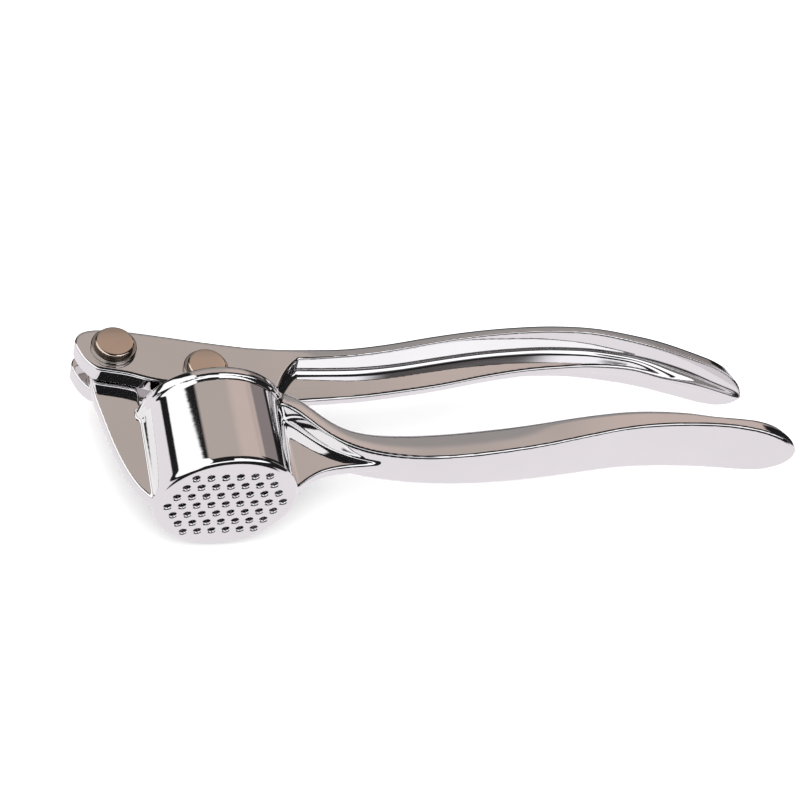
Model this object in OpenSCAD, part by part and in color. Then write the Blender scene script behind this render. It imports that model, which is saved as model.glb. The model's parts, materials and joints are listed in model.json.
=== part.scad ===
// Garlic press, lying on its side and closed.
// Two die-cast handles share one rivet; a plunger hangs in the upper handle's fork
// and runs in the perforated cup of the lower handle.
// X runs from the pivot end to the handle tips, Y along the cup from the strainer to
// its mouth, Z along the rivets. The origin is under the middle of the press, on the
// surface it lies on.

/* [Overall] */
// Length from the head's nose to the lower handle's tip
overall_length = 155; // [152:0.5:158]
// How far the head's nose reaches past the pivot
nose_reach = 7.6; // [7.2:0.1:8.2]
// Height of the cheeks above the pivot axis
head_top = 4.8; // [4.8:0.1:5.2]

/* [Cup] */
// Depth of the strainer's outer face below the pivot axis
strainer_depth = 35.2; // [34.8:0.1:36]
// Distance of the cup's axis from the pivot axis
cup_offset = 18.4; // [18.3:0.05:18.6]
// Outside diameter of the cup wall
cup_diameter = 28.7; // [28.5:0.1:29.2]
// Outside diameter of the rim ring
ring_diameter = 30.2; // [29.8:0.1:31]
// Height of the rim ring
ring_height = 2.2; // [1.8:0.1:2.6]
// Depth of the rim below the pivot axis
rim_depth = 12.6; // [12.4:0.1:12.8]
// Bore radius just above the strainer
bore_bottom = 12.45; // [12.4:0.05:12.6]
// Bore radius under the rim, drafted for casting
bore_top = 12.9; // [12.8:0.05:13.1]
// Thickness of the perforated floor
floor_thickness = 2.0; // [1.6:0.1:2.2]

/* [Strainer] */
// Diameter of one hole
hole_diameter = 1.5; // [1.2:0.1:1.8]
// Distance between holes in a row
hole_pitch = 2.88; // [2.7:0.02:2.9]
// Distance between rows
row_pitch = 3.0; // [2.8:0.05:3.05]

/* [Fork and grips] */
// Width over the two cheeks
head_width = 11.2; // [10.8:0.1:11.8]
// Width of the slot between the cheeks
slot_width = 3.3; // [3.2:0.05:3.6]
// Thickness of the lower handle's tongue and rear gusset
tongue_thickness = 2.7; // [2.4:0.1:2.7]
// Thickness of the web under the upper grip's flange
web_thickness = 3.0; // [2.6:0.1:3.4]

/* [Plunger] */
// Radius of the plunger disc
plunger_radius = 11.0; // [10.8:0.05:11.0]
// Thickness of the plunger disc
plunger_thickness = 3.0; // [2.6:0.1:3.2]
// Gap left between plunger and strainer when closed
closed_gap = 0.6; // [0.5:0.1:1.2]

/* [Rivets] */
// Distance of the plunger rivet from the pivot, towards the handle tips
plunger_pin_x = 17.9; // [17.8:0.05:18.0]
// Depth of the plunger rivet below the pivot
plunger_pin_drop = 6.1; // [6.0:0.05:6.2]
// Shank radius of the main rivet
pivot_shank_r = 2.5; // [2.2:0.1:2.6]
// Shank radius of the plunger rivet
plunger_shank_r = 2.2; // [2.0:0.1:2.3]
// Radius of the rivet heads
rivet_head_r = 3.9; // [3.6:0.1:4.0]
// Height of the rivet heads
rivet_head_h = 1.3; // [1.0:0.1:1.4]
// Radius of the washers
washer_r = 4.6; // [4.3:0.1:4.7]
// Thickness of the washers
washer_t = 1.0; // [0.8:0.1:1.2]

/* [Hidden] */
$fn = 96;
steps = 4;
running = 0.05;
pin_x = plunger_pin_x;
pin_y = -plunger_pin_drop;
floor_out = -strainer_depth;
floor_in = floor_out + floor_thickness;
rim_y = -rim_depth;
ring_low = rim_y - ring_height;
cup_r = cup_diameter / 2;
ring_r = ring_diameter / 2;
edge_r = 1.2;
lower_tip = overall_length - nose_reach;
upper_tip = lower_tip - 7.8;
grip = upper_tip / 139.6;
bar = lower_tip / 147.4;
slot_end = 27.5;
face_y = floor_in + closed_gap;
disc_top = face_y + plunger_thickness;
// pivot axis on the mid-plane, seen from the origin
shift = [nose_reach - overall_length / 2, (strainer_depth - head_top) / 2, ring_r];

chrome = [0.78, 0.76, 0.76];
warm = [0.74, 0.62, 0.52];

function blend(a, b, c, d, t) =
  0.5 * (2 * b + (c - a) * t + (2 * a - 5 * b + 4 * c - d) * t * t
  + (3 * b - a - 3 * c + d) * t * t * t);

// smooth line through the key points
function smooth(k) = [
  for (i = [0 : len(k) - 2]) for (j = [0 : steps - 1])
    blend(k[max(i - 1, 0)], k[i], k[i + 1], k[min(i + 2, len(k) - 1)], j / steps),
  k[len(k) - 1]
];

function stretch(k, s) = [for (p = k) [p[0] * s, p[1]]];
function back(k) = [for (i = [len(k) - 1 : -1 : 0]) k[i]];
function flip(k) = [for (p = k) [p[0], -p[1]]];

// outline drawn from an upper line and a lower line
module between(top, low) {
  polygon(concat(smooth(top), back(smooth(low))));
}

// both sides of a plan outline given by its half width
module plan(half) {
  polygon(concat(smooth(half), back(smooth(flip(half)))));
}

// side outline given thickness along the rivets
module slab(t) {
  linear_extrude(height = t, center = true) children();
}

// plan outline raised through the whole height of the press
module column() {
  rotate([-90, 0, 0]) translate([0, 0, -40]) linear_extrude(height = 50) children();
}

// upper grip: outer line of the flange
flange_top = stretch([
  [28, -0.4], [33, -0.95], [38, -1.3], [46, -1.6], [52, -1.6], [60, -0.85], [70, 0.7],
  [80, 1.95], [90, 2.65], [97, 2.8], [105, 2.35], [112, 1.3], [120, -0.75], [127, -3.7],
  [132, -6.1], [136, -8.1], [139.6, -10.1]
], grip);
// upper grip: inner line of the flange
flange_low = stretch([
  [28, -3.2], [33, -3.4], [38, -3.6], [46, -3.75], [52, -3.65], [60, -2.85], [70, -1.2],
  [80, 0.2], [90, 0.95], [97, 1.05], [105, 0.5], [110, -0.5], [115, -1.75], [120, -3.25],
  [125, -5.3], [130, -7.4], [133, -8.8], [136, -10.4], [139.6, -12.4]
], grip);
// upper grip: lower line of the web
web_low = stretch([
  [28, -11.2], [33, -11.3], [38, -11.1], [46, -10.7], [52, -10.3], [60, -9.3], [70, -7.8],
  [80, -5.8], [90, -4.3], [97, -3.8], [105, -3.6], [112, -4.3], [118, -5.5], [124, -7.1],
  [130, -8.8], [135, -10.9], [139.4, -12.9]
], grip);
// upper grip: half width of the flange
flange_half = stretch([
  [28, head_width / 2], [38, 5.75], [46, 6.0], [54, 6.7], [64, 7.3], [75, 7.5], [90, 7.6],
  [105, 7.45], [115, 6.95], [125, 6.45], [130, 6.2], [133, 5.9], [136, 4.95], [138, 3.4],
  [139.2, 1.6], [139.6, 0.3]
], grip);
// upper grip: half width of the web, which thins and runs out into the tip
web_half = stretch([
  [28, web_thickness / 2], [60, web_thickness / 2], [95, web_thickness / 2], [105, 1.6],
  [114, 1.7], [120, 1.6], [126, 1.3], [132, 1.0], [137.5, 0.8], [139.4, 0.3]
], grip);

// lower bar: upper line
bar_top = stretch([
  [30.5, -12.9], [34, -13.4], [36.6, -14.9], [39.5, -17.6], [43, -20.4], [46.5, -21.8],
  [50, -22.4], [57, -22.9], [66, -23.1], [76, -22.9], [86, -22.3], [96, -21.5],
  [106, -20.9], [114, -21.2], [122, -22.2], [130, -23.3], [137, -24.1], [143, -25.4],
  [147.4, -28.0]
], bar);
// lower bar: underside
bar_low = stretch([
  [30.5, -15.6], [34, -16.4], [37.2, -19.6], [40.4, -22.6], [44.4, -25.1], [48.5, -26.7],
  [53, -27.9], [60, -29.0], [68, -29.3], [76, -29.0], [86, -28.1], [96, -26.7],
  [106, -25.3], [114, -24.9], [122, -25.1], [130, -25.8], [137, -27.1], [143, -28.5],
  [147.4, -28.8]
], bar);
// lower bar: half width
bar_half = stretch([
  [30.5, 6.6], [34, 6.2], [38, 5.6], [43, 4.9], [49, 4.4], [57, 4.35], [65, 4.75],
  [75, 5.45], [86, 6.1], [98, 6.9], [110, 7.4], [124, 7.65], [132, 7.5], [138, 6.95],
  [142.5, 5.6], [145.8, 3.5], [147.1, 1.7], [147.4, 0.3]
], bar);

// cheeks, seen along the rivets
head_line = concat(
  smooth([
    [32, -11.4], [20, -10.35], [8.7, -8.75], [2.2, -6.6], [-1.4, -5.75], [-4.2, -4.9],
    [-6.2, -2.6], [-nose_reach + 0.35, -0.1], [-nose_reach, 1.4],
    [-nose_reach + 0.35, 2.9], [-6.2, 4.1], [-4.5, head_top - 0.12], [-2.9, head_top],
    [-1.3, head_top - 0.12], [3.6, 4.15], [11.6, 2.7], [20, 1.0],
    [28, -0.4], [38, -1.3]
  ]),
  smooth([[38, -3.5], [36.4, -4.9], [34.6, -7.0], [33.1, -9.4]])
);

// wall, rim ring and floor of the cup as one turned shape
module cup_body() {
  translate([cup_offset, 0, 0]) rotate([-90, 0, 0]) difference() {
    rotate_extrude() union() {
      polygon([
        [0, floor_out], [cup_r - edge_r, floor_out], [cup_r, floor_out + edge_r],
        [cup_r, ring_low - 0.4], [cup_r + 0.3, ring_low], [ring_r - 0.3, ring_low],
        [ring_r, ring_low + 0.3], [ring_r, rim_y - 0.4], [ring_r - 0.4, rim_y], [0, rim_y]
      ]);
      translate([cup_r - edge_r, floor_out + edge_r]) circle(r = edge_r);
    }
    bore();
  }
}

// space inside the cup, drafted and flared at the mouth
module bore() {
  rotate_extrude() polygon([
    [0, floor_in], [bore_bottom - 0.4, floor_in], [bore_bottom, floor_in + 0.4],
    [bore_top, ring_low], [bore_top + 0.7, rim_y - 0.4], [bore_top + 1.0, rim_y + 1],
    [0, rim_y + 1]
  ]);
}

// staggered rows of holes through the floor
module strainer_holes() {
  for (row = [-3 : 3]) for (i = [0 : 8 - abs(row)])
    translate([
      cup_offset + (i - (8 - abs(row)) / 2) * hole_pitch,
      floor_out - 1,
      row * row_pitch
    ]) rotate([-90, 0, 0]) cylinder(h = floor_thickness + 2, r = hole_diameter / 2, $fn = 24);
}

// front web that carries the pivot eye inside the fork
module tongue() {
  slab(tongue_thickness) polygon(concat(
    smooth([
      [4.6, -1.5], [3.9, 2.2], [0, 4.3], [-3.6, 2.6], [-4.5, -1], [-4.7, -5], [-4.4, -9],
      [-3.6, -13.5], [-2.2, -20.5], [-0.5, -26.5], [1.6, -31.2], [4.4, floor_out + 0.5]
    ]),
    [[7, floor_out + 0.5], [7, ring_low], [4.7, rim_y]]
  ));
}

// rear web between the cup wall and the bar's underside
module gusset() {
  slab(tongue_thickness) polygon(concat(
    smooth([[31, -34], [33.4, -32.6], [36, -30.8], [39, -29.3], [43.5, -28.4], [51, -28.0]]),
    smooth([[53, -26.5], [44.4, -23.5], [37, -17.5], [31, -14.5]])
  ));
}

module lower_handle() {
  color(chrome) translate(shift) difference() {
    union() {
      cup_body();
      difference() {
        union() {
          tongue();
          gusset();
          intersection() {
            slab(2 * cup_r) between(bar_top, bar_low);
            column() plan(bar_half);
          }
        }
        translate([cup_offset, 0, 0]) rotate([-90, 0, 0]) bore();
      }
    }
    strainer_holes();
    cylinder(h = 2 * head_width, r = pivot_shank_r + running, center = true);
  }
}

module upper_handle() {
  color(chrome) translate(shift) difference() {
    union() {
      difference() {
        slab(head_width) polygon(head_line);
        translate([slot_end - 60, -40, -slot_width / 2]) cube([60, 80, slot_width]);
      }
      intersection() {
        slab(3 * head_width) between(flange_top, flange_low);
        column() plan(flange_half);
      }
      intersection() {
        slab(2 * head_width) between(flange_top, web_low);
        column() plan(web_half);
      }
    }
    cylinder(h = 2 * head_width, r = pivot_shank_r, center = true);
    translate([pin_x, pin_y, 0]) cylinder(h = 2 * head_width, r = plunger_shank_r, center = true);
  }
}

module plunger() {
  color(chrome) translate(shift) difference() {
    union() {
      translate([pin_x, 0, 0]) rotate([-90, 0, 0]) rotate_extrude() polygon([
        [0, face_y], [plunger_radius - 0.5, face_y], [plunger_radius, face_y + 0.9],
        [plunger_radius, disc_top - 0.9], [plunger_radius - 0.5, disc_top],
        [5.5, disc_top], [3.4, disc_top + 1.2], [0, disc_top + 1.2]
      ]);
      slab(tongue_thickness) polygon([
        [pin_x - 6.5, disc_top - 1], [pin_x + 6.5, disc_top - 1], [pin_x + 4.6, disc_top + 5],
        [pin_x + 3.6, pin_y - 4], [pin_x + 3.5, pin_y], [pin_x - 3.5, pin_y],
        [pin_x - 3.6, pin_y - 4], [pin_x - 4.6, disc_top + 5]
      ]);
      translate([pin_x, pin_y, 0]) cylinder(h = tongue_thickness, r = 3.5, center = true);
      translate([pin_x, 0, 0]) rotate([0, 90, 0]) slab(tongue_thickness) polygon([
        [-5.8, disc_top - 1], [5.8, disc_top - 1], [4.2, disc_top + 5],
        [1.4, pin_y - 10], [-1.4, pin_y - 10], [-4.2, disc_top + 5]
      ]);
    }
    translate([pin_x, pin_y, 0]) cylinder(h = 20, r = plunger_shank_r + running, center = true);
  }
}

// shank with a domed head on one side and a formed head on the other
module rivet(shank_r) {
  h = head_width / 2 + washer_t;
  rotate_extrude() polygon([
    [0, -h - rivet_head_h], [rivet_head_r - 0.5, -h - rivet_head_h],
    [rivet_head_r, -h - rivet_head_h + 0.4], [rivet_head_r, -h], [shank_r, -h], [shank_r, h],
    [rivet_head_r, h], [rivet_head_r, h + rivet_head_h - 0.4],
    [rivet_head_r - 0.5, h + rivet_head_h], [0, h + rivet_head_h]
  ]);
}

// washer seated on a cheek: side 1 is the upper cheek, -1 the lower
module washer(shank_r, side) {
  base = side * head_width / 2;
  translate([0, 0, min(base, base + side * washer_t)]) difference() {
    cylinder(h = washer_t, r = washer_r);
    translate([0, 0, -1]) cylinder(h = washer_t + 2, r = shank_r);
  }
}

module pivot_rivet() {
  color(warm) translate(shift) rivet(pivot_shank_r);
}

module plunger_rivet() {
  color(warm) translate(shift) translate([pin_x, pin_y, 0]) rivet(plunger_shank_r);
}

module pivot_washer_near() {
  color(warm) translate(shift) washer(pivot_shank_r, 1);
}

module pivot_washer_far() {
  color(warm) translate(shift) washer(pivot_shank_r, -1);
}

module plunger_washer_near() {
  color(warm) translate(shift) translate([pin_x, pin_y, 0]) washer(plunger_shank_r, 1);
}

module plunger_washer_far() {
  color(warm) translate(shift) translate([pin_x, pin_y, 0]) washer(plunger_shank_r, -1);
}

lower_handle();
upper_handle();
plunger();
pivot_rivet();
plunger_rivet();
pivot_washer_near();
pivot_washer_far();
plunger_washer_near();
plunger_washer_far();
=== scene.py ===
# Looks of the chromed garlic press. Every piece is one smooth closed skin taken from a
# distance field, so that edges and junctions are rounded as on a polished casting.
# Shapes are in millimetres about the main pivot: x runs to the handle tips, y from the
# strainer to the cup's mouth, z along the rivets.
import json
import math
import bpy
import numpy as np
from mathutils import Matrix, Vector


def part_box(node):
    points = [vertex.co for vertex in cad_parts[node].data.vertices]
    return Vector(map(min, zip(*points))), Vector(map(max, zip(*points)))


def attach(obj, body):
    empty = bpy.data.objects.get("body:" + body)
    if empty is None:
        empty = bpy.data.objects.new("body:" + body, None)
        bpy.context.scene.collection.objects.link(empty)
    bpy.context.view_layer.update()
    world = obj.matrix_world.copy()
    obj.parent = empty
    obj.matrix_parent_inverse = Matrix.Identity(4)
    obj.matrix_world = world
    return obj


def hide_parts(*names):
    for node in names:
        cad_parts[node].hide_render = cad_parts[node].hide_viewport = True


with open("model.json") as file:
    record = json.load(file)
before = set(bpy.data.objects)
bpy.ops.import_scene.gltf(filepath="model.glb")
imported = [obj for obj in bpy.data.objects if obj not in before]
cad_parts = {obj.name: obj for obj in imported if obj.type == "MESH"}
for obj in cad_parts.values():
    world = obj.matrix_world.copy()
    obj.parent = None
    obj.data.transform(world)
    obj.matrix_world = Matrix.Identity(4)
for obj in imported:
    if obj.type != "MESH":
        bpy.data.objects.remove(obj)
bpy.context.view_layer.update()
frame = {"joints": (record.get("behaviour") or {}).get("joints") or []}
PIVOT = Vector(frame["joints"][0]["pos_m"])
PIN = (Vector(frame["joints"][1]["pos_m"]) - PIVOT) * 1000
PIN_X, PIN_Y = PIN.x, PIN.y
FLOOR_OUT = (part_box("lower_handle")[0].y - PIVOT.y) * 1000

# ---- sizes in mm ------------------------------------------------------------------
CUP_X, CUP_R = 18.4, 14.35
FLOOR_IN = FLOOR_OUT + 2.0
RING_R = 15.1
RIM, RING_LOW = -12.6, -14.8
HEAD_HALF = 5.6
SLOT_HALF, SLOT_END = 1.65, 27.5
TONGUE_HALF = 1.35
HOLE_R, PITCH, ROW = 0.75, 2.88, 3.0
OUTER_ROW, MIDDLE_HOLES = 3, 9
PIVOT_SHANK, PIN_SHANK, RUNNING_GAP = 2.5, 2.2, 0.05
RIVET_R, RIVET_TALL, RIVET_CROWN = 3.9, 1.3, 0.008
WASHER, WASHER_R = 1.0, 4.6

# Sampling: the cell of each piece's grid, and the spacing along curves
UPPER_CELL, LOWER_CELL, PLUNGER_CELL, SMALL_CELL = 0.295, 0.355, 0.3, 0.16
FINE = 0.1

# Edges and inner corners, as radii
FINE_EDGE = 0.1
CAST_EDGE = 0.3
PLATE_EDGE = 0.35
CHEEK_EDGE = 0.5
STRAINER_EDGE = 1.2
CHEEK_FILLET = 1.2

# Long lines of the two handles: (x, y) for levels, (x, half width) for plans
FLANGE_TOP = [
    (28, -0.4), (33, -0.95), (38, -1.3), (46, -1.6), (52, -1.6), (60, -0.85), (70, 0.7),
    (80, 1.95), (90, 2.65), (97, 2.8), (105, 2.35), (112, 1.3), (120, -0.75), (127, -3.7),
    (132, -6.1), (136, -8.1), (139.6, -10.1), (143, -12.2)]
FLANGE_LOW = [
    (28, -3.2), (33, -3.4), (38, -3.6), (46, -3.75), (52, -3.65), (60, -2.85), (70, -1.2),
    (80, 0.2), (90, 0.95), (97, 1.05), (105, 0.5), (110, -0.5), (115, -1.75), (120, -3.25),
    (125, -5.3), (130, -7.4), (133, -8.8), (136, -10.4), (139.6, -12.4), (143, -14.4)]
WEB_LOW = [
    (28, -11.2), (33, -11.3), (38, -11.1), (46, -10.7), (52, -10.3), (60, -9.3), (70, -7.8),
    (80, -5.8), (90, -4.3), (97, -3.8), (105, -3.6), (112, -4.3), (118, -5.5), (124, -7.1),
    (130, -8.6), (135, -10.8), (139.4, -12.8), (143, -14.6)]
FLANGE_HALF = [
    (28, 5.55), (37, 5.6), (46, 6.0), (54, 6.7), (64, 7.3), (75, 7.5), (90, 7.6),
    (105, 7.45), (115, 6.95), (125, 6.45), (130, 6.2), (133, 5.9), (136, 4.95), (138, 3.4),
    (139.2, 1.6), (139.6, 0.0)]
WEB_HALF = [
    (28, 1.6), (60, 1.6), (95, 1.6), (105, 1.7), (114, 1.9), (120, 1.8), (126, 1.5),
    (132, 1.15), (137.5, 0.9), (139.4, 0.0)]
BAR_TOP = [
    (30.5, -12.9), (34, -13.4), (36.6, -14.9), (39.5, -17.6), (43, -20.4), (46.5, -21.8),
    (50, -22.4), (57, -22.9), (66, -23.1), (76, -22.9), (86, -22.3), (96, -21.5),
    (106, -20.9), (114, -21.2), (122, -22.2), (130, -23.2), (137, -23.8), (143, -24.9),
    (147.4, -27.3), (150, -28.6)]
BAR_LOW = [
    (30.5, -15.6), (34, -16.4), (37.2, -19.6), (40.4, -22.6), (44.4, -25.1), (48.5, -26.7),
    (53, -27.9), (60, -29.0), (68, -29.3), (76, -29.0), (86, -28.1), (96, -26.7),
    (106, -25.3), (114, -24.9), (122, -25.1), (130, -25.8), (137, -27.1), (143, -28.5),
    (147.4, -28.8), (150, -28.9)]
BAR_HALF = [
    (30.5, 6.6), (34, 6.2), (38, 5.6), (43, 4.9), (49, 4.4), (57, 4.35), (65, 4.75),
    (75, 5.45), (86, 6.1), (98, 6.9), (110, 7.4), (124, 7.65), (132, 7.5), (138, 6.95),
    (142.5, 5.6), (145.8, 3.5), (147.1, 1.7), (147.4, 0.0)]


# ---- curves -----------------------------------------------------------------------
def smooth(keys, steps=10):
    """Dense points of a smooth line through the keys."""
    k = np.array(keys, float)
    k = np.vstack([k[:1], k, k[-1:]])
    out = []
    for i in range(1, len(k) - 2):
        a, b, c, d = k[i - 1], k[i], k[i + 1], k[i + 2]
        for t in np.arange(steps) / steps:
            out.append(0.5 * (2 * b + (c - a) * t + (2 * a - 5 * b + 4 * c - d) * t * t
                              + (3 * b - a - 3 * c + d) * t ** 3))
    out.append(k[-1])
    return np.array(out)


def level(keys, x, soft=2.0):
    """Height of a line at x and its slope, evened out over soft millimetres."""
    p = smooth(keys)
    xs = np.arange(p[0, 0], p[-1, 0], FINE)
    ys = np.interp(xs, p[:, 0], p[:, 1])
    n = round(3 * soft / FINE)
    w = np.exp(-0.5 * (np.arange(-n, n + 1) * FINE / soft) ** 2)
    w /= w.sum()
    left = 2 * ys[0] - ys[n:0:-1]
    right = 2 * ys[-1] - ys[-2:-n - 2:-1]
    ys = np.convolve(np.concatenate([left, ys, right]), w, "valid")
    slope = np.gradient(ys, FINE)
    y = np.interp(x, xs, ys) + np.where(x < xs[0], (x - xs[0]) * slope[0], 0)
    return y + np.where(x > xs[-1], (x - xs[-1]) * slope[-1], 0), np.interp(x, xs, slope)


def outline(points, u, v):
    """Distance to a closed outline on the grid u by v, negative inside."""
    p = np.asarray(points, float)
    q = np.roll(p, -1, 0)
    best = np.full((len(u), len(v)), 1e9)
    inside = np.zeros(best.shape, bool)
    U, V = u[:, None], v[None, :]
    for (ax, ay), (bx, by) in zip(p, q):
        ex, ey = bx - ax, by - ay
        n = ex * ex + ey * ey
        if n < 1e-12:
            continue
        t = np.clip(((U - ax) * ex + (V - ay) * ey) / n, 0, 1)
        best = np.minimum(best, (U - ax - t * ex) ** 2 + (V - ay - t * ey) ** 2)
        if ey != 0:
            hit = ((ay > V) != (by > V)) & (U < ax + (V - ay) * ex / ey)
            inside ^= hit
    d = np.sqrt(best)
    return np.where(inside, -d, d)


def both_sides(half):
    """Closed plan outline from a list of half widths."""
    s = smooth(half)
    return np.vstack([s, (s * [1, -1])[::-1]])


# ---- joining fields ---------------------------------------------------------------
def meet(a, b, r):
    """What is inside both, the shared edge rounded to radius r."""
    return np.minimum(np.maximum(a, b), -r) + np.hypot(np.maximum(a + r, 0), np.maximum(b + r, 0))


def join(a, b, r):
    """What is inside either, the inner corner filled to radius r."""
    return -meet(-a, -b, r)


def ease(x, a, b):
    """0 up to a, 1 from b on, smooth between."""
    t = np.clip((x - a) / (b - a), 0, 1)
    return t * t * (3 - 2 * t)


class Grid:
    """A box of sample points in millimetres, and the simple fields on it."""

    def __init__(self, low, high, cell):
        self.low, self.cell = np.array(low, float), cell
        self.x, self.y, self.z = [np.arange(a, b + cell, cell) for a, b in zip(low, high)]
        self.X = self.x[:, None, None]
        self.Y = self.y[None, :, None]
        self.Z = self.z[None, None, :]

    def side(self, points):
        """A plate whose outline is given in x and y."""
        return outline(points, self.x, self.y)[:, :, None]

    def plan(self, points):
        """A plate whose outline is given in x and z."""
        return outline(points, self.x, self.z)[:, None, :]

    def end(self, points):
        """A plate whose outline is given in z and y."""
        return outline(points, self.z, self.y).T[None, :, :]

    def post(self, x, y, r):
        """A round bar along the rivets."""
        return np.hypot(self.X - x, self.Y - y) - r

    def turned(self, points, x):
        """A shape turned about the cup's axis; the outline is radius and height."""
        p = np.vstack([points, (np.asarray(points) * [-1, 1])[::-1]])
        r = np.hypot(self.x[:, None] - x, self.z[None, :])
        radii = np.arange(0, r.max() + 3 * FINE, FINE)
        table = outline(p, radii, self.y)
        i = np.clip((r / FINE).astype(int), 0, len(radii) - 2)
        t = (r / FINE - i)[:, :, None]
        return (table[i] * (1 - t) + table[i + 1] * t).transpose(0, 2, 1)

    def above(self, keys, soft=2.0, bulge=0.0, half=1.0, tilt=0.0):
        """Distance over a long curved face, crowned by bulge across the half width, or
        tilted up from the edges to the middle."""
        y, slope = level(keys, self.x, soft)
        crown = bulge * (1 - np.clip(self.Z / half, -1, 1) ** 2)
        y = y[:, None, None] + crown + tilt * (half - np.abs(self.Z))
        return (self.Y - y) / np.sqrt(1 + slope ** 2)[:, None, None]


def net(f):
    """Points and quads of the zero level of a field, in cells: one point in each cell that
    the level crosses, at the mean of its crossings, and one quad round each crossed edge."""
    s = f < 0
    n = np.array(f.shape)
    total = np.zeros((*(n - 1), 3), np.float32)
    count = np.zeros(n - 1, np.int16)
    faces = []
    for axis in range(3):
        lo = [slice(None)] * 3
        hi = [slice(None)] * 3
        lo[axis], hi[axis] = slice(0, -1), slice(1, None)
        cut = s[tuple(lo)] != s[tuple(hi)]
        at = np.argwhere(cut)
        a = f[tuple(lo)][cut]
        b = f[tuple(hi)][cut]
        point = at.astype(np.float32)
        point[:, axis] += a / (a - b)
        u, v = [k for k in range(3) if k != axis]
        corners = []
        for du, dv in ((0, 0), (1, 0), (1, 1), (0, 1)):
            c = at.copy()
            c[:, u] -= du
            c[:, v] -= dv
            corners.append(c)
            i = tuple(c.T)
            np.add.at(total, i, point)
            np.add.at(count, i, 1)
        flat = np.stack([np.ravel_multi_index(tuple(c.T), tuple(n - 1)) for c in corners], 1)
        turn = s[tuple(lo)][cut] == (axis == 1)
        faces.append(np.where(turn[:, None], flat[:, ::-1], flat))
    used = count > 0
    index = np.full(count.shape, -1, np.int64)
    index[used] = np.arange(used.sum())
    return total[used] / count[used][:, None], index.ravel()[np.concatenate(faces)]


def settle(f, co):
    """The points moved onto the zero level of the field, and the field's normals there."""
    slope = np.stack(np.gradient(f), -1)
    n = np.array(f.shape)

    def read(p):
        q = np.clip(p, 0, n - 1.001)
        i = q.astype(int)
        t = q - i
        value = np.zeros(len(p))
        grad = np.zeros((len(p), 3))
        for k in range(8):
            d = np.array([(k >> j) & 1 for j in range(3)])
            w = np.prod(np.where(d, t, 1 - t), 1)
            j = tuple((i + d).T)
            value += w * f[j]
            grad += w[:, None] * slope[j]
        return value, grad

    for _ in range(3):
        value, grad = read(co)
        step = value[:, None] * grad / np.maximum((grad ** 2).sum(1), 1e-3)[:, None]
        co = co - np.clip(step, -0.5, 0.5)
    normal = read(co)[1]
    return co, normal / np.maximum(np.linalg.norm(normal, axis=1), 1e-9)[:, None]


def skin(name, field, grid, body, nodes):
    """The closed skin of a field as a piece that rides a body and replaces CAD nodes."""
    f = np.ascontiguousarray(field, np.float32)
    co, quads = net(f)
    co, normal = settle(f, co)
    world = (co * grid.cell + grid.low) / 1000 + np.array(PIVOT)
    mesh = bpy.data.meshes.new(name)
    mesh.from_pydata(world.tolist(), [], quads.tolist())
    mesh.validate()
    mesh.polygons.foreach_set("use_smooth", np.ones(len(mesh.polygons), bool))
    if len(mesh.vertices) == len(normal):
        mesh.normals_split_custom_set_from_vertices(normal.tolist())
    mesh.update()
    piece = bpy.data.objects.new(name, mesh)
    bpy.context.scene.collection.objects.link(piece)
    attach(piece, body)
    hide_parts(*nodes)
    return piece


# ---- upper handle -----------------------------------------------------------------
HEAD = [
    (32, -11.4), (20, -10.35), (8.7, -8.75), (2.2, -6.6), (-1.4, -5.75), (-4.2, -4.9),
    (-6.2, -2.6), (-7.25, -0.1), (-7.6, 1.4), (-7.25, 2.95), (-6.2, 4.2), (-4.5, 4.85),
    (-2.9, 5.0), (-1.3, 4.9), (3.6, 4.35), (11.6, 2.8), (20, 1.1), (28, -0.3)]
POCKET_END = [
    (42, 9), (40, 0), (38.0, -3.5), (36.4, -4.9), (34.6, -7.0), (33.1, -9.4), (32.1, -12),
    (31.2, -18)]


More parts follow.
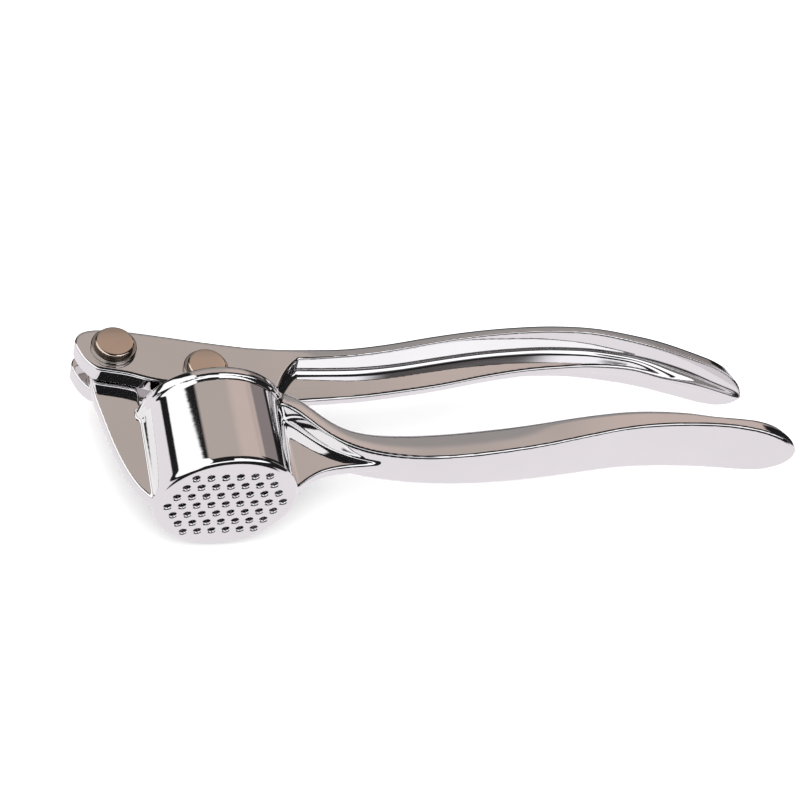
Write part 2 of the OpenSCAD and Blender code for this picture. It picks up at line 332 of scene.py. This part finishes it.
def upper_handle():
    g = Grid((-9, -16, -9), (141.5, 7, 9), UPPER_CELL)
    grip, proud, tip = ease(g.X, 30, 44), ease(g.X, 37, 48), ease(g.X, 114, 126)
    half = np.maximum(np.interp(g.x, *np.array(FLANGE_HALF).T)[:, None, None], 1)
    low = level(FLANGE_LOW, g.x)[0][:, None, None]

    # The flange: crowned on top, its edges leaning outwards, its underside a shallow roof.
    # It is let out a little, because its rounded edges take the silhouette in.
    let_out = 0.2 + 0.3 * ease(g.X, 28, 44) + 0.35 * tip + 0.4 * ease(g.X, 130, 138)
    top = g.above(FLANGE_TOP, bulge=0.8 * grip, half=half) - let_out
    lean = proud * (0.22 * (g.Y - low) - 0.35)
    edge = g.plan(both_sides(FLANGE_HALF)) + lean
    flange = meet(top, edge, 0.5 + 0.5 * grip)
    flange = meet(flange, -g.above(FLANGE_LOW, half=half, tilt=-0.06), 0.2)
    flange = np.maximum(flange, SLOT_END - 0.5 - g.X)

    # The web tapers towards its lower edge, strongly where it runs out into the tip.
    taper = 0.09 + 0.43 * tip
    web = g.plan(both_sides(WEB_HALF)) + taper * np.maximum(low - g.Y, 0)
    x = np.arange(33, 143, 0.5)
    above = np.stack([x, level(FLANGE_TOP, x)[0] + 0.2], 1)
    below = np.stack([x, level(WEB_LOW, x)[0]], 1)
    profile = g.side(np.vstack([smooth(HEAD), above, below[::-1]]))
    web_edge = 0.2 + 0.25 * ease(g.X, 98, 116)
    root = 1.25 + 0.4 * tip - 0.9 * ease(g.X, 126, 137)
    grip_part = join(meet(web, profile, web_edge), flange, root)

    # The fork: two cheeks that end in a pocket on each side of the web.
    cheeks = g.side(np.vstack([smooth(POCKET_END), [(-30, -18), (-30, 9)]]))
    cheeks = meet(cheeks, np.abs(g.Z) - HEAD_HALF, CHEEK_EDGE)
    head_part = meet(join(cheeks, web, CHEEK_FILLET), profile, CHEEK_EDGE)
    f = np.minimum(grip_part, head_part)
    slot = np.maximum(np.abs(g.Z) - SLOT_HALF, g.X - SLOT_END)
    f = meet(f, -slot, CAST_EDGE)
    f = meet(f, -g.post(0, 0, PIVOT_SHANK), FINE_EDGE)
    f = meet(f, -g.post(PIN_X, PIN_Y, PIN_SHANK), FINE_EDGE)
    return skin("upper_handle_casting", f, g, "upper", ["upper_handle"])


# ---- lower handle -----------------------------------------------------------------
TONGUE = [
    (4.6, -1.5), (3.9, 2.2), (0, 4.3), (-3.6, 2.6), (-4.5, -1), (-4.7, -5), (-4.4, -9),
    (-3.6, -13.5), (-2.2, -20.5), (-0.5, -26.5), (1.6, -31.2), (4.4, FLOOR_OUT + 0.5)]
GUSSET_LOW = [(31, -34), (33.4, -32.6), (36, -30.8), (39, -29.3), (43.5, -28.4), (51, -28.0)]
GUSSET_TOP = [(53, -26.5), (44.4, -23.5), (37, -17.5), (31, -14.5)]


def arc(cx, cy, r, a0, a1, n=8):
    """Points of an arc between two angles in degrees."""
    t = np.radians(np.linspace(a0, a1, n))
    return [(cx + r * math.cos(a), cy + r * math.sin(a)) for a in t]


def cup_outside():
    """Radius and height of the cup's outside: strainer edge, wall and ring."""
    ring_low, ring_top = 0.35, 0.6
    points = [(0, FLOOR_OUT)]
    points += arc(CUP_R - STRAINER_EDGE, FLOOR_OUT + STRAINER_EDGE, STRAINER_EDGE, -90, 0)
    points += [(CUP_R, RING_LOW - ring_low)]
    points += arc(RING_R - ring_low, RING_LOW + ring_low, ring_low, -90, 0, 4)
    points += arc(RING_R - ring_top, RIM - ring_top, ring_top, 0, 90, 6)
    return points + [(0, RIM)]


def cup_inside():
    """Radius and height of the bore, which widens to the mouth."""
    return [(0, FLOOR_IN), (12.05, FLOOR_IN), (12.45, FLOOR_IN + 0.4), (12.9, RING_LOW),
            (13.6, RIM - 0.4), (13.9, RIM + 1), (13.9, RIM + 3), (0, RIM + 3)]


def handle_bar(g):
    """The bar behind the cup: crowned below, its sides drawn in towards its top."""
    half = np.interp(g.x, *np.array(BAR_HALF).T)[:, None, None]
    thick = (level(BAR_TOP, g.x)[0] - level(BAR_LOW, g.x)[0])[:, None, None]
    far = ease(g.X, 78, 98)
    near_edge, far_edge = np.clip(0.32 * thick, 0.5, 1.6), np.clip(0.28 * thick, 0.5, 1.2)
    let_out = 0.85 - 0.3 * far - 0.45 * ease(g.X, 120, 128)
    top = g.above(BAR_TOP, 1.5) - let_out
    crown = -0.4 * np.clip(1 - np.abs(g.X - 46) / 22, 0.3, 1)
    under = -g.above(BAR_LOW, 1.5, crown, np.maximum(half, 1))
    rise = np.clip(-under / thick, 0, 1)
    plan = g.plan(both_sides(BAR_HALF)) + (0.1 - 0.08 * far) * thick * rise ** 2
    bar = meet(meet(top, plan, near_edge * (1 - far) + far_edge * far), under, CAST_EDGE)
    return np.maximum(bar, 30.6 - g.X)


def strainer_holes(g):
    """Rows of holes, each next row shifted by half a pitch and one hole shorter."""
    row = np.clip(np.rint(g.z / ROW), -OUTER_ROW, OUTER_ROW)
    shift = np.where(row % 2 == 0, 0.0, 0.5)
    reach = (MIDDLE_HOLES - 1 - np.abs(row)) / 2
    u = (g.x[:, None] - CUP_X) / PITCH
    place = np.clip(np.rint(u - shift) + shift, -reach, reach)
    hole = np.hypot((u - place) * PITCH, (g.z - row * ROW)[None, :]) - HOLE_R
    return hole[:, None, :]


def lower_handle():
    g = Grid((-7, FLOOR_OUT - 1.2, -16.2), (148.8, 6.2, 16.2), LOWER_CELL)
    cup = g.turned(cup_outside(), CUP_X)
    in_cup = [(7, FLOOR_OUT + 0.5), (7, RING_LOW), (4.7, RIM)]
    tongue = np.vstack([smooth(TONGUE), in_cup])
    tongue = meet(g.side(tongue), np.abs(g.Z) - TONGUE_HALF, PLATE_EDGE)
    gusset = np.vstack([smooth(GUSSET_LOW), smooth(GUSSET_TOP)])
    gusset = meet(g.side(gusset), np.abs(g.Z) - TONGUE_HALF, PLATE_EDGE)
    f = join(cup, tongue, 0.35)
    f = join(f, join(handle_bar(g), gusset, 0.5), 0.6)
    f = meet(f, -g.turned(cup_inside(), CUP_X), 0.25)
    f = meet(f, -strainer_holes(g), 0.12)
    f = meet(f, -g.post(0, 0, PIVOT_SHANK + RUNNING_GAP), FINE_EDGE)
    return skin("lower_handle_casting", f, g, "lower", ["lower_handle"])


# ---- plunger ----------------------------------------------------------------------
def plunger():
    g = Grid((PIN_X - 12.5, -34, -12.5), (PIN_X + 12.5, 0, 12.5), PLUNGER_CELL)
    disc_r, disc_edge, disc_tall, boss = 11.0, 0.5, 3.0, 1.2
    face = FLOOR_IN + 0.6
    top = face + disc_tall
    disc = [(0, face)] + arc(disc_r - disc_edge, face + disc_edge, disc_edge, -90, 0, 4)
    disc += arc(disc_r - disc_edge, top - disc_edge, disc_edge, 0, 90, 4)
    disc += [(5.5, top), (3.4, top + boss), (0, top + boss)]
    disc = g.turned(disc, PIN_X)
    lug = [(PIN_X - 6.5, top - 1), (PIN_X + 6.5, top - 1), (PIN_X + 4.6, top + 5),
           (PIN_X + 3.6, PIN_Y - 4), (PIN_X + 3.5, PIN_Y), (PIN_X - 3.5, PIN_Y),
           (PIN_X - 3.6, PIN_Y - 4), (PIN_X - 4.6, top + 5)]
    lug = join(g.side(lug), g.post(PIN_X, PIN_Y, 3.5), CAST_EDGE)
    lug = meet(lug, np.abs(g.Z) - TONGUE_HALF, CAST_EDGE)
    rib = [(-5.8, top - 1), (5.8, top - 1), (4.2, top + 5), (1.4, PIN_Y - 10),
           (-1.4, PIN_Y - 10), (-4.2, top + 5)]
    rib = meet(g.end(rib), np.abs(g.X - PIN_X) - TONGUE_HALF, CAST_EDGE)
    f = join(join(lug, rib, 0.5), disc, 0.8)
    f = meet(f, -g.post(PIN_X, PIN_Y, PIN_SHANK + RUNNING_GAP), FINE_EDGE)
    return skin("plunger_casting", f, g, "ram", ["plunger"])


# ---- rivets and washers -------------------------------------------------------------
def rivet(name, x, y, shank, nodes):
    """Shank and two slightly crowned heads; the heads' side walls take the second material, a
    painted shade: a near-black colour that stands in for the dark reflection and shade on those
    walls.
    """
    g = Grid((x - 4.6, y - 4.6, -8.6), (x + 4.6, y + 4.6, 8.6), SMALL_CELL)
    r = np.hypot(g.X - x, g.Y - y)
    z = np.abs(g.Z)
    base = HEAD_HALF + WASHER
    dome = z + RIVET_CROWN * r ** 2 - (base + RIVET_TALL)
    head = meet(meet(r - RIVET_R, dome, 0.45), base - z, FINE_EDGE)
    f = join(head, np.maximum(r - shank, z - base - 0.3), 0.05)
    piece = skin(name, f, g, "upper", nodes)
    # Faces that stand sideways, the heads' side walls, get the painted shade material.
    for face in piece.data.polygons:
        face.material_index = int(abs(face.normal.z) < 0.45)
    return piece


def washer(name, x, y, shank, side, nodes):
    zc = side * (HEAD_HALF + WASHER / 2)
    g = Grid((x - 5.2, y - 5.2, zc - 1), (x + 5.2, y + 5.2, zc + 1), SMALL_CELL)
    r = np.hypot(g.X - x, g.Y - y)
    ring = meet(r - WASHER_R, np.abs(g.Z - zc) - WASHER / 2, 0.25)
    return skin(name, meet(ring, shank - r, FINE_EDGE), g, "upper", nodes)


PIVOT_AT = (0, 0, PIVOT_SHANK)
PIN_AT = (PIN_X, PIN_Y, PIN_SHANK)
castings = [upper_handle(), lower_handle(), plunger()]
rivets = [
    rivet("pivot_rivet_metal", *PIVOT_AT, ["pivot_rivet"]),
    rivet("plunger_rivet_metal", *PIN_AT, ["plunger_rivet"]),
]
washers = [
    washer("pivot_washer_near_metal", *PIVOT_AT, 1, ["pivot_washer_near"]),
    washer("pivot_washer_far_metal", *PIVOT_AT, -1, ["pivot_washer_far"]),
    washer("plunger_washer_near_metal", *PIN_AT, 1, ["plunger_washer_near"]),
    washer("plunger_washer_far_metal", *PIN_AT, -1, ["plunger_washer_far"]),
]


# ---- materials ----------------------------------------------------------------------
def node(tree, kind, **inputs):
    """A new node with inputs set; an underscore in an input's name stands for a space."""
    n = tree.nodes.new(kind)
    for name, value in inputs.items():
        n.inputs[name.replace("_", " ")].default_value = value
    return n


def plated(name, tint, smear, rough, grain):
    """Polished plate: slight colour drift, handling smears and fine polishing lines."""
    m = bpy.data.materials.new(name)
    m.use_nodes = True
    nt = m.node_tree
    link = nt.links.new
    shader = nt.nodes["Principled BSDF"]
    shader.inputs["Metallic"].default_value = 1.0
    place = node(nt, "ShaderNodeTexCoord").outputs["Object"]

    cloud = node(nt, "ShaderNodeTexNoise", Scale=55.0, Detail=3.0)
    ramp = node(nt, "ShaderNodeValToRGB")
    dull, clean = ramp.color_ramp.elements
    dull.position, clean.position = 0.35, 0.7
    dull.color = (*[c * (1 - smear) for c in tint], 1)
    clean.color = (*tint, 1)
    link(place, cloud.inputs["Vector"])
    link(cloud.outputs["Fac"], ramp.inputs["Fac"])
    link(ramp.outputs["Color"], shader.inputs["Base Color"])

    smudge = node(nt, "ShaderNodeTexNoise", Scale=120.0, Detail=6.0)
    spread = node(nt, "ShaderNodeMapRange", From_Min=0.4, From_Max=0.8, To_Min=rough,
                  To_Max=rough * 2.2)
    link(place, smudge.inputs["Vector"])
    link(smudge.outputs["Fac"], spread.inputs["Value"])
    link(spread.outputs["Result"], shader.inputs["Roughness"])

    stretch = node(nt, "ShaderNodeMapping", Scale=(60.0, 900.0, 900.0))
    lines = node(nt, "ShaderNodeTexNoise", Scale=1.0, Detail=2.0)
    bump = node(nt, "ShaderNodeBump", Strength=grain, Distance=0.00002)
    link(place, stretch.inputs["Vector"])
    link(stretch.outputs["Vector"], lines.inputs["Vector"])
    link(lines.outputs["Fac"], bump.inputs["Height"])
    link(bump.outputs["Normal"], shader.inputs["Normal"])
    return m


chrome = plated("chrome_plate", (0.80, 0.79, 0.795), 0.03, 0.03, 0.15)
warm = plated("rivet_plate", (0.74, 0.60, 0.49), 0.10, 0.05, 0.3)
grey = plated("washer_plate", (0.38, 0.34, 0.31), 0.06, 0.03, 0.2)
# Painted shade: a near-black plate for the rivet heads' side walls, standing in for the dark
# reflection and shade seen there.
shade = plated("rivet_side_painted_shade", (0.10, 0.085, 0.075), 0.3, 0.2, 0.3)
for group, looks in ((castings, [chrome]), (rivets, [warm, shade]), (washers, [grey])):
    for piece in group:
        for look in looks:
            piece.data.materials.append(look)


# ---- studio -------------------------------------------------------------------------
DARK = (0.015, 0.015, 0.016)
# The room that the mirror surfaces see, each part painted over those before it: its name,
# its colour, and its limits by the ray's direction. A limit says what is measured, where
# the part begins to show and where it shows in full. High and far are slanted measures.
ROOM = [
    ("low back wall", (0.27, 0.268, 0.262), [("y", 0.36, 0.46), ("z", 0.02, 0.10)]),
    ("back wall", (0.53, 0.455, 0.42), [("y", 0.36, 0.46), ("z", 0.48, 0.70)]),
    ("lighter right of it", (0.66, 0.54, 0.495),
     [("y", 0.36, 0.46), ("z", 0.34, 0.50), ("x", 0.22, 0.42)]),
    ("its deeper part", (0.37, 0.345, 0.335), [("y", 0.64, 0.72), ("z", 0.20, 0.36)]),
    ("table", (0.95, 0.91, 0.945), [("z", -0.02, -0.08)]),
    ("table's left edge", DARK, [("x", -0.56, -0.62), ("z", -0.05, -0.01)]),
    ("table's right edge", DARK,
     [("x", 0.50, 0.60), ("z", -0.15, -0.10), ("z", -0.00, -0.04)]),
    ("table's far edge", (0.03, 0.03, 0.03),
     [("y", 0.60, 0.80), ("z", -0.60, -0.40), ("z", 0.1, 0.0)]),
    ("table's front edge", DARK, [("y", -0.68, -0.76), ("z", -0.56, -0.50)]),
    ("front softbox", (1.5, 1.5, 1.53),
     [("y", -0.16, -0.28), ("z", 0.37, 0.43), ("z", 0.68, 0.64)]),
    ("its right top", (1.45, 1.45, 1.48),
     [("y", -0.26, -0.34), ("z", 0.64, 0.68), ("x", 0.13, 0.19)]),
    ("ceiling softbox", (1.4, 1.4, 1.45),
     [("y", -0.18, -0.26), ("z", 0.82, 0.86), ("x", 0.13, 0.19)]),
    ("its dark right", (0.12, 0.11, 0.11),
     [("y", -0.04, -0.12), ("z", 0.82, 0.86), ("x", 0.33, 0.43)]),
    ("gap at the left", DARK,
     [("x", -0.30, -0.34), ("y", 0.2, 0.3), ("z", -0.06, -0.02), ("high", 1.255, 1.215)]),
    ("left card", (1.3, 1.3, 1.3),
     [("x", -0.36, -0.40), ("z", 0.12, 0.16), ("far", 2.62, 2.57)]),
    ("warm right", (0.60, 0.49, 0.445),
     [("x", 0.35, 0.55), ("y", 0.40, 0.46), ("y", 0.68, 0.62), ("z", 0.02, 0.08),
      ("z", 0.50, 0.40)]),
    ("dim right", (0.28, 0.24, 0.24),
     [("x", 0.55, 0.65), ("y", 0.1, 0.3), ("z", 0.38, 0.32), ("z", -0.05, 0.00)]),
    ("far right", DARK, [("x", 0.52, 0.58), ("y", 0.61, 0.68), ("z", 0.20, 0.12)]),
    ("near right", DARK,
     [("x", 0.66, 0.72), ("y", 0.30, 0.40), ("y", 0.555, 0.54), ("z", 0.50, 0.42)]),
]
HIGH_SLANT, FAR_SLANT = 0.9, 3.4
PLAIN_LIGHT = (1.5, 1.5, 1.5, 1)


def studio():
    """The world: plain soft light, and for mirror rays the room."""
    world = bpy.data.worlds.new("studio")
    bpy.context.scene.world = world
    world.use_nodes = True
    nt = world.node_tree
    nt.nodes.clear()
    link = nt.links.new
    way = node(nt, "ShaderNodeTexCoord")
    xyz = node(nt, "ShaderNodeSeparateXYZ")
    link(way.outputs["Generated"], xyz.inputs["Vector"])
    measures = {"x": xyz.outputs["X"], "y": xyz.outputs["Y"], "z": xyz.outputs["Z"]}
    for name, slant in (("high", HIGH_SLANT), ("far", FAR_SLANT)):
        n = node(nt, "ShaderNodeMath")
        n.operation = "MULTIPLY_ADD"
        link(measures["y"], n.inputs[0])
        n.inputs[1].default_value = slant
        link(measures["z"], n.inputs[2])
        measures[name] = n.outputs[0]

    def shows(measure, none, full):
        """0 up to none, 1 from full on, smooth between; full may be under none."""
        rising = none < full
        n = node(nt, "ShaderNodeMapRange", From_Min=min(none, full), From_Max=max(none, full),
                 To_Min=0.0 if rising else 1.0, To_Max=1.0 if rising else 0.0)
        n.interpolation_type = "SMOOTHSTEP"
        link(measures[measure], n.inputs["Value"])
        return n.outputs["Result"]

    def both(a, b):
        n = node(nt, "ShaderNodeMath")
        n.operation = "MULTIPLY"
        link(a, n.inputs[0])
        link(b, n.inputs[1])
        return n.outputs[0]

    seen = None
    for _, colour, limits in ROOM:
        mask = shows(*limits[0])
        for limit in limits[1:]:
            mask = both(mask, shows(*limit))
        layer = node(nt, "ShaderNodeMix")
        layer.data_type = "RGBA"
        factor = layer.inputs["Factor"]
        under, paint = layer.inputs[6], layer.inputs[7]
        link(mask, factor)
        under.default_value = (*DARK, 1)
        if seen:
            link(seen, under)
        paint.default_value = (*colour, 1)
        seen = layer.outputs[2]

    room = node(nt, "ShaderNodeBackground")
    link(seen, room.inputs["Color"])
    plain = node(nt, "ShaderNodeBackground", Color=PLAIN_LIGHT)
    path = node(nt, "ShaderNodeLightPath")
    either = node(nt, "ShaderNodeMixShader")
    out = node(nt, "ShaderNodeOutputWorld")
    link(path.outputs["Is Glossy Ray"], either.inputs[0])
    link(plain.outputs[0], either.inputs[1])
    link(room.outputs[0], either.inputs[2])
    link(either.outputs[0], out.inputs["Surface"])


def paper_floor(half=3.0):
    """The pale table top, which mirror rays pass through."""
    mesh = bpy.data.meshes.new("floor")
    corners = [(-half, -half, 0), (half, -half, 0), (half, half, 0), (-half, half, 0)]
    mesh.from_pydata(corners, [], [(0, 1, 2, 3)])
    floor = bpy.data.objects.new("floor", mesh)
    bpy.context.scene.collection.objects.link(floor)
    floor.visible_glossy = False
    paper = bpy.data.materials.new("paper_sweep")
    paper.use_nodes = True
    shader = paper.node_tree.nodes["Principled BSDF"]
    shader.inputs["Base Color"].default_value = (0.93, 0.93, 0.93, 1)
    shader.inputs["Roughness"].default_value = 0.9
    shader.inputs["Specular IOR Level"].default_value = 0.0
    mesh.materials.append(paper)


def soft_lamp():
    """A weak area lamp above, aimed at the press, for a hint of shadow."""
    lamp = bpy.data.lights.new("soft_top", "AREA")
    lamp.size = 0.9
    lamp.energy = 4.0
    top = bpy.data.objects.new("soft_top", lamp)
    top.location = (-0.15, -0.25, 0.9)
    top.rotation_mode = "QUATERNION"
    top.rotation_quaternion = (-top.location).to_track_quat("-Z", "Y")
    top.visible_glossy = False
    bpy.context.scene.collection.objects.link(top)


studio()
paper_floor()
soft_lamp()

# ---- camera -------------------------------------------------------------------------
AZIMUTH, ELEVATION, ROLL = -29.051, 48.874, 21.272
CAMERA_FROM_PIVOT = (-0.05896, -0.22439, 0.27998)
LENS, SENSOR = 79.41, 36.0


def camera():
    a, e, r = [math.radians(v) for v in (AZIMUTH, ELEVATION, ROLL)]
    ahead = Vector((-math.sin(a) * math.cos(e), math.cos(a) * math.cos(e), -math.sin(e)))
    level_right = Vector((math.cos(a), math.sin(a), 0))
    level_up = level_right.cross(ahead)
    right = level_right * math.cos(r) + level_up * math.sin(r)
    up = level_up * math.cos(r) - level_right * math.sin(r)
    data = bpy.data.cameras.new("camera")
    data.lens = LENS
    data.sensor_width = SENSOR
    data.clip_start, data.clip_end = 0.01, 20
    cam = bpy.data.objects.new("camera", data)
    turn = Matrix((right, up, -ahead)).transposed().to_4x4()
    cam.matrix_world = Matrix.Translation(PIVOT + Vector(CAMERA_FROM_PIVOT)) @ turn
    bpy.context.scene.collection.objects.link(cam)
    bpy.context.scene.camera = cam
    bpy.context.scene.view_settings.view_transform = "Standard"


camera()
